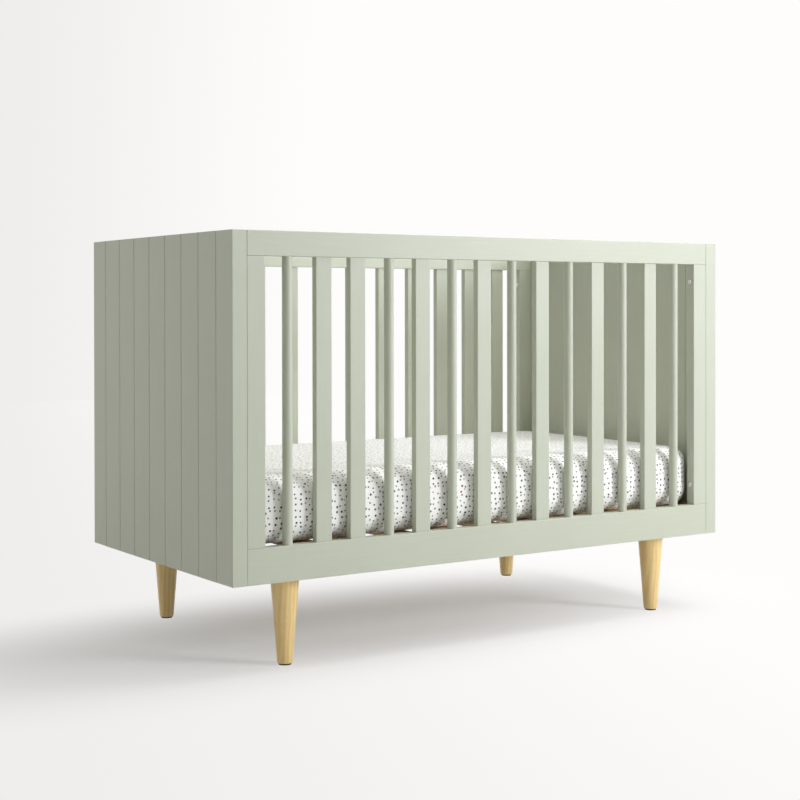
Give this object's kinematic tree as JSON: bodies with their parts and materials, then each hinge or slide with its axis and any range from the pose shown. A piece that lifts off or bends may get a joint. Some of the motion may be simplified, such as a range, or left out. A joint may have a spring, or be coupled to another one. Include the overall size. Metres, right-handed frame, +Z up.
{
  "type": "baby crib",
  "caption": "Full-size baby crib with solid board ends, slat and dowel sides, tapered round legs, height-adjustable slatted support and mattress with dotted fitted sheet.",
  "frame": {"origin": "on the floor under the middle of the crib", "axes": "+X along the length to the right as seen from the front, +Y to the back, +Z up"},
  "size_m": [1.4, 0.745, 0.94],
  "materials": {
    "painted_wood": "satin sage green paint on solid hardwood",
    "beech_leg": "clear satin lacquer on turned beech",
    "support_wood": "bare planed pine",
    "bracket_steel": "black powder coat",
    "zinc_steel": "bright zinc plate",
    "insert_steel": "zinc plate",
    "glide_plastic": "moulded matt plastic",
    "mattress_foam": "soft foam in a woven cover",
    "sheet_cotton": "white woven cotton with small charcoal dots"
  },
  "bodies": {
    "crib_frame": {"back_bottom_rail": "painted_wood", "back_left_stile": "painted_wood", "back_right_stile": "painted_wood", "back_slats": "painted_wood", "back_top_rail": "painted_wood", "front_bottom_rail": "painted_wood", "front_dowel_01": "painted_wood", "front_dowel_04": "painted_wood", "front_dowel_06": "painted_wood", "front_dowel_08": "painted_wood", "front_dowel_10": "painted_wood", "front_dowel_12": "painted_wood", "front_dowel_14": "painted_wood", "front_left_leg": "beech_leg", "front_left_stile": "painted_wood", "front_right_leg": "beech_leg", "front_right_stile": "painted_wood", "front_slat_02": "painted_wood", "front_slat_03": "painted_wood", "front_slat_05": "painted_wood", "front_slat_07": "painted_wood", "front_slat_09": "painted_wood", "front_slat_11": "painted_wood", "front_slat_13": "painted_wood", "front_top_rail": "painted_wood", "left_end_boards": "painted_wood", "left_end_bottom_rail": "painted_wood", "left_end_front_post": "painted_wood", "left_end_inner_panel": "painted_wood", "left_end_rear_post": "painted_wood", "left_end_top_rail": "painted_wood", "left_leg_rail": "painted_wood", "leg_glides": "glide_plastic", "leg_hanger_bolts": "zinc_steel", "leg_inserts": "insert_steel", "rear_left_leg": "beech_leg", "rear_right_leg": "beech_leg", "right_end_boards": "painted_wood", "right_end_bottom_rail": "painted_wood", "right_end_front_post": "painted_wood", "right_end_inner_panel": "painted_wood", "right_end_rear_post": "painted_wood", "right_end_top_rail": "painted_wood", "right_leg_rail": "painted_wood", "side_frame_bolts": "zinc_steel", "side_frame_inserts": "insert_steel", "support_bolts": "zinc_steel", "support_inserts": "insert_steel"},
    "mattress_support": {"support_bracket_screws": "zinc_steel", "support_brackets": "bracket_steel", "support_front_rail": "support_wood", "support_left_rail": "support_wood", "support_rear_rail": "support_wood", "support_right_rail": "support_wood", "support_slat_screws": "zinc_steel", "support_slats": "support_wood"},
    "mattress": {"mattress_core": "mattress_foam", "fitted_sheet": "sheet_cotton"}
  },
  "joints": [
    {"name": "support_height", "type": "slide", "parent": "crib_frame", "child": "mattress_support", "axis": [0, 0, 1], "range_m": [0, 0.25]},
    {"name": "mattress_lift", "type": "slide", "parent": "mattress_support", "child": "mattress", "axis": [0, 0, 1], "range_m": [0, 0.7]}
  ]
}
